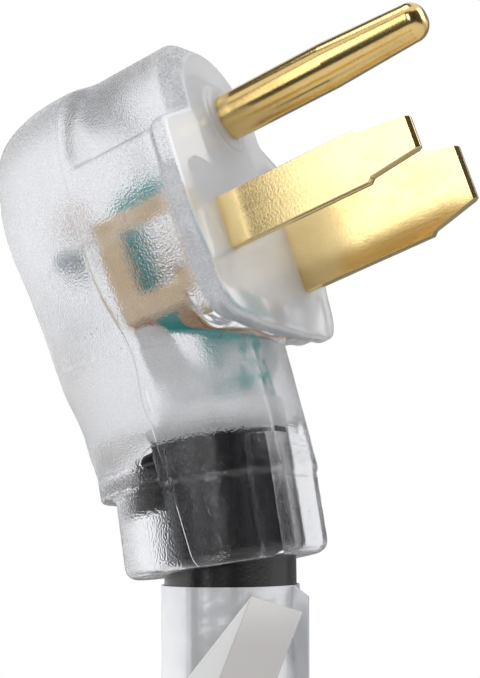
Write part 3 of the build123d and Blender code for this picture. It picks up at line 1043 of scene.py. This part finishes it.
@dataclass
class Prongs:
    """The two sheet blades and the round ground pin."""

    sheet: Brass = Brass("sheet_brass", cast_in_from=0.0015)
    turned: Brass = Brass("turned_brass", (0.80, 0.58, 0.24), (0.44, 0.27, 0.07), 0.19,
                          cast_in_from=0.0015)
    edge: float = 0.00008
    smooth_below: float = 60.0

    def blade(self, node: str, name: str) -> bpy.types.Object:
        """Builds a blade from its CAD node, with eased edges.

        Args:
            node: the CAD node.
            name: the new piece's name.

        Returns:
            The blade.
        """
        piece = copy_of_node(node, name, join_flats=True)
        apply_modifier(piece, "BEVEL", width=self.edge, segments=2, limit_method="ANGLE",
                       angle_limit=math.radians(20.0))
        shade(piece, self.smooth_below)
        apply_modifier(piece, "WEIGHTED_NORMAL", keep_sharp=True, weight=100)
        return piece

    def build(self) -> None:
        """Builds and dresses the prongs."""
        brass = self.sheet.material()
        dress(self.blade("narrow_blade", "near_blade"), brass, "blade_brass", "narrow_blade")
        dress(self.blade("wide_blade", "far_blade"), brass, "blade_brass", "wide_blade")
        dress_nodes(self.turned, "ground_pin")


@dataclass
class Wiring:
    """What is cast into the moulding: wires, bridge, ground strap, lamp and dropper."""

    strap: Brass = Brass("strap_brass", cast_in_from=0.0015)
    # The black and green wires carry a painted silvery reflection low down, where the moulding has
    # parted.
    black: Vinyl = Vinyl("black_wire", (0.05, 0.05, 0.055), (0.07, 0.07, 0.07), gloss=0.0,
                         painted_reflection_below=-0.0090)
    white: Vinyl = Vinyl("white_wire", (0.92, 0.92, 0.91), (0.88, 0.88, 0.86), gloss=0.0)
    green: Vinyl = Vinyl("green_wire", (0.02, 0.40, 0.38), (0.04, 0.46, 0.44), gloss=0.0,
                         painted_reflection_below=-0.0120, wetted=0.49)
    wrap: Vinyl = Vinyl("wrap_paper", (0.94, 0.94, 0.93), (0.90, 0.90, 0.89), gloss=0.0)
    bridge: MilkyVinyl = MilkyVinyl()
    copper: Copper = Copper()
    lamp: LampGlass = LampGlass()
    coat: Banded = Banded()
    tinned: Brass = Brass("tinned_lead", (0.80, 0.80, 0.79), (0.60, 0.60, 0.58), 0.3,
                          Grain.ALL_WAYS)

    def build(self) -> None:
        """Dresses the wiring."""
        dress_nodes(self.strap, "ground_strap")
        dress_nodes(self.bridge, "prong_bridge")
        ends = ("narrow_conductor", "wide_conductor", "ground_conductor")
        dress_nodes(self.copper, *ends)
        dress_nodes(self.black, "wide_wire")
        dress_nodes(self.white, "narrow_wire")
        dress_nodes(self.green, "ground_wire")
        dress_nodes(self.wrap, "core_wrap")
        dress_nodes(self.lamp, "indicator_lamp")
        dress_nodes(self.coat, "dropper_resistor")
        leads = ("lamp_lead_narrow", "lamp_lead_middle", "lamp_lead_wide")
        dress_nodes(self.tinned, *leads)


@dataclass
class Lead:
    """The black lead, from inside the strain relief to the connector."""

    jacket: Vinyl = Vinyl("black_jacket", (0.004, 0.004, 0.005), (0.009, 0.009, 0.010), 0.26,
                          gloss=0.9)
    bonded: Vinyl = Vinyl("bonded_jacket", (0.004, 0.004, 0.006), (0.012, 0.012, 0.016), 0.5,
                          gloss=0.1)
    lead_in: float = 0.002

    def route(self) -> list[Vector]:
        """The route's points, with a short lead-in up into the strain relief.

        Returns:
            The points, from the relief down.
        """
        points = [Vector(point) for point in LEAD_ROUTE]
        first = (points[0] - points[1]).normalized() * self.lead_in
        return [points[0] + first, *points]

    def build(self) -> bpy.types.Object:
        """Builds and dresses the lead.

        Returns:
            The lead.
        """
        curve = bpy.data.curves.new("lead", "CURVE")
        curve.dimensions = "3D"
        curve.bevel_depth = CORD_RADIUS
        curve.bevel_resolution = 12
        curve.resolution_u = 24
        curve.use_fill_caps = True
        points = self.route()
        spline = curve.splines.new("NURBS")
        spline.points.add(len(points) - 1)
        for control, point in zip(spline.points, points):
            control.co = (*point, 1.0)
        spline.order_u = 3
        spline.use_endpoint_u = True
        piece = new_object("lead", curve)
        dress(piece, self.jacket.material(), "black_jacket", "cord")
        dress_nodes(self.bonded, "jacket_end")
        return piece


@dataclass
class Label:
    """The bare film label round the lead, its free edge and the folded strip.

    The lead's curve starts lead_in up inside the strain relief.
    """

    lead: bpy.types.Object
    lead_in: float
    film: Film = Film("label_film", (0.86, 0.87, 0.89), (0.78, 0.79, 0.82))
    strip: FoldedFilm = FoldedFilm()
    top: float = 0.0023
    foot: float = 0.039
    thickness: float = 0.00035
    waves: float = 0.00016
    wave_size: float = 0.005
    flag_thickness: float = 0.0004
    flag_widths: tuple[float, float] = (0.0022, 0.0017)
    flag_corner: float = 0.0014
    flag_edge: float = 0.00005
    strip_edge: float = 0.00012

    def wrap(self) -> bpy.types.Object:
        """Winds the film round the lead.

        Returns:
            The film.
        """
        curve = self.lead.data.copy()
        curve.materials.clear()
        piece = new_object("film_wrap", curve)
        length = curve.splines[0].calc_length()
        curve.bevel_depth = CORD_RADIUS + self.thickness
        curve.bevel_resolution = 30
        curve.use_fill_caps = False
        curve.bevel_factor_mapping_start = "SPLINE"
        curve.bevel_factor_mapping_end = "SPLINE"
        curve.bevel_factor_start = (self.top + self.lead_in) / length
        curve.bevel_factor_end = (self.foot + self.lead_in) / length
        select_only(piece)
        bpy.ops.object.convert(target="MESH")
        apply_modifier(piece, "SUBSURF", subdivision_type="SIMPLE", levels=2)
        ripple = bpy.data.textures.new("ripple", "CLOUDS")
        ripple.noise_scale = self.wave_size
        apply_modifier(piece, "DISPLACE", texture=ripple, strength=self.waves, texture_coords="LOCAL")
        apply_modifier(piece, "SOLIDIFY", thickness=self.thickness * 0.8, offset=-1.0)
        shade(piece, 40.0)
        return piece

    def flag(self) -> bpy.types.Object:
        """Lays the film's free edge along the front of the lead.

        Returns:
            The free edge.
        """
        bare = self.lead.data.copy()
        bare.bevel_depth = 0.0
        bare.resolution_u = 96
        guide = new_object("guide", bare)
        bpy.context.view_layer.update()
        shown = guide.evaluated_get(bpy.context.evaluated_depsgraph_get())
        route = [vertex.co.copy() for vertex in bpy.data.meshes.new_from_object(shown).vertices]
        bpy.data.objects.remove(guide)
        points: list[Vector] = []
        root = CORD_RADIUS + self.thickness * 0.9
        broad, narrow = self.flag_widths
        walked = -self.lead_in
        for here, after in zip(route, route[1:]):
            step = after - here
            if self.top <= walked <= self.foot:
                width = broad + (narrow - broad) * (walked - self.top) / (self.foot - self.top)
                front = step.cross(Vector((1.0, 0.0, 0.0))).normalized()
                cut_off = max(0.0, 1.0 - (walked - self.top) / self.flag_corner)
                points.append(here + front * root)
                points.append(here + front * (root + width * (1.0 - 0.9 * cut_off)))
            walked += step.length
        faces = [(i, i + 1, i + 3, i + 2) for i in range(0, len(points) - 2, 2)]
        mesh = bpy.data.meshes.new("film_edge")
        mesh.from_pydata(points, [], faces)
        piece = new_object("film_edge", mesh)
        apply_modifier(piece, "SOLIDIFY", thickness=self.flag_thickness, offset=0.0)
        apply_modifier(piece, "BEVEL", width=self.flag_edge, segments=2, limit_method="ANGLE")
        return piece

    def build(self) -> list[bpy.types.Object]:
        """Builds and dresses the label.

        Returns:
            The label's pieces.
        """
        film = self.film.material()
        wrap = dress(self.wrap(), film, "label_film", "label_wrap")
        flag = dress(self.flag(), film, "label_film", "label_flag")
        strip = copy_of_node("label_strip", "folded_strip", join_flats=True)
        apply_modifier(strip, "BEVEL", width=self.strip_edge, segments=3, limit_method="ANGLE")
        shade(strip, 35.0)
        # The strip's film has painted shade on its front leg.
        dress(strip, self.strip.material(), "strip_film", "label_strip")
        return [wrap, flag, strip]


@dataclass
class Connector:
    """The moulded socket on the lead's far end."""

    shell: Vinyl = Vinyl("black_moulding", (0.025, 0.025, 0.027), (0.04, 0.04, 0.04), 0.48, 1800.0,
                         0.00008)
    face: Vinyl = Vinyl("black_face", (0.03, 0.03, 0.032), (0.045, 0.045, 0.045), 0.42)
    contacts: Brass = Brass("contact_brass", (0.78, 0.60, 0.30), (0.55, 0.40, 0.18), 0.28,
                            Grain.ALL_WAYS)

    def build(self) -> list[bpy.types.Object]:
        """Dresses the connector.

        Returns:
            The connector's nodes.
        """
        dress_nodes(self.shell, "connector_body")
        dress_nodes(self.face, "connector_face")
        names = ("narrow_contact", "wide_contact", "ground_contact")
        dress_nodes(self.contacts, *names)
        return [NODES[node] for node in ("connector_body", "connector_face", *names)]


def facing(place: Point, target: Point, axis: str) -> Euler:
    """The turn that points one axis of an object at a target.

    Args:
        place: where the object is.
        target: where it points.
        axis: the axis that points there.

    Returns:
        The turn.
    """
    return (Vector(target) - Vector(place)).to_track_quat(axis, "Y").to_euler()


@dataclass(frozen=True)
class Lamp:
    """A soft rectangular lamp."""

    name: str
    place: Point
    target: Point
    size: Span
    watts: float

    def build(self) -> None:
        """Adds the lamp."""
        light = bpy.data.lights.new(self.name, "AREA")
        light.shape = "RECTANGLE"
        light.size, light.size_y = self.size
        light.energy = self.watts
        lamp = new_object(self.name, light)
        lamp.location = self.place
        lamp.rotation_euler = facing(self.place, self.target, "-Z")


@dataclass(frozen=True)
class Card:
    """A plain card that only reflections and, unless said, clear things show. It faces the plug."""

    name: str
    place: Point
    size: Span
    tone: float
    through: bool = True

    def build(self) -> None:
        """Hangs the card."""
        bpy.ops.object.select_all(action="DESELECT")
        bpy.ops.mesh.primitive_plane_add(size=1.0)
        piece = bpy.context.active_object
        piece.name = self.name
        piece.scale = (*self.size, 1.0)
        bpy.ops.object.transform_apply(location=False, rotation=False, scale=True)
        piece.location = self.place
        piece.rotation_euler = facing(self.place, (0.0, 0.0, 0.0), "Z")
        piece.data.materials.append(Matt(self.name, self.tone).material())
        piece.visible_camera = False
        piece.visible_diffuse = False
        piece.visible_shadow = False
        piece.visible_transmission = self.through


@dataclass
class Studio:
    """The floor, the light and the camera at the photograph's angle."""

    image_height: float = 678.0
    focal_pixels: float = 1313.187
    sensor: float = 36.0
    camera_place: Point = (-0.15376, -0.05968, -0.05869)
    camera_right: Point = (0.4551, -0.8442, -0.2834)
    camera_down: Point = (0.1195, 0.3733, -0.92)
    camera_forward: Point = (0.8824, 0.3848, 0.2708)
    ambient: float = 0.68
    floor_half: float = 1.6
    kit: tuple[Lamp | Card, ...] = (
        Lamp("key", (-0.515, 0.078, 0.17), (0.0, -0.01, 0.0), (0.17, 0.42), 0.55),
        Lamp("front", (0.19, -0.49, 0.20), (0.0, 0.0, -0.02), (0.26, 0.40), 1.0),
        Lamp("top", (-0.10, -0.05, 0.60), (0.0, 0.0, 0.0), (0.30, 0.30), 0.8),
        Card("room", (-0.52, -0.10, 0.0), (1.5, 1.1), 0.03),
        Card("front_room", (-0.20, -0.62, 0.0), (0.8, 1.0), 0.06, through=False),
        Card("far", (0.55, 0.05, 0.0), (0.9, 1.0), 0.26, through=False),
        Lamp("fill", (-0.48, -0.14, 0.12), (0.0, 0.02, -0.02), (0.06, 0.30), 0.50),
        Card("ceiling", (0.05, 0.05, 0.75), (0.7, 0.7), 0.10),
    )

    def floor(self) -> None:
        """Lays the floor."""
        bpy.ops.object.select_all(action="DESELECT")
        bpy.ops.mesh.primitive_plane_add(size=2 * self.floor_half, location=(0.0, 0.0, FLOOR_LEVEL))
        piece = bpy.context.active_object
        piece.name = "floor"
        piece.data.materials.append(Paper().material())

    def world(self) -> None:
        """Makes the white surroundings and the plain ambient light."""
        shader = Shader("studio", bpy.data.worlds)
        rays = ("Is Camera Ray", "Is Glossy Ray", "Is Transmission Ray")
        camera, glossy, through = (shader.node("ShaderNodeLightPath", output=ray) for ray in rays)
        white = {"Color": (1.0, 1.0, 1.0, 1.0)}
        soft = shader.node("ShaderNodeBackground", None, {**white, "Strength": self.ambient})
        bright = shader.node("ShaderNodeBackground", None, {**white, "Strength": 1.0})
        sockets = {0: camera.most(glossy.most(through)), 1: soft, 2: bright}
        blend = shader.node("ShaderNodeMixShader", None, sockets)
        bpy.context.scene.world = shader.finish(blend, "ShaderNodeOutputWorld")

    def camera(self) -> None:
        """Places the camera."""
        data = bpy.data.cameras.new("camera")
        data.sensor_width = self.sensor
        data.lens = self.focal_pixels * self.sensor / self.image_height
        data.clip_start = 0.01
        camera = new_object("camera", data)
        down, forward = Vector(self.camera_down), Vector(self.camera_forward)
        turn = Matrix((Vector(self.camera_right), -down, -forward)).transposed()
        camera.matrix_world = Matrix.Translation(Vector(self.camera_place)) @ turn.to_4x4()
        bpy.context.scene.camera = camera

    def build(self) -> None:
        """Builds the studio."""
        self.floor()
        self.world()
        for item in self.kit:
            item.build()
        self.camera()
        bpy.context.scene.view_settings.view_transform = "Standard"


def main() -> None:
    """Builds the plug's pieces in order."""
    logging.basicConfig(level=logging.INFO)
    Studio().build()
    lead = Lead().build()
    label = Label(lead, Lead.lead_in).build()
    socket = Connector().build()
    ClearBody().build()
    Prongs().build()
    Wiring().build()


if __name__ == "__main__":
    main()
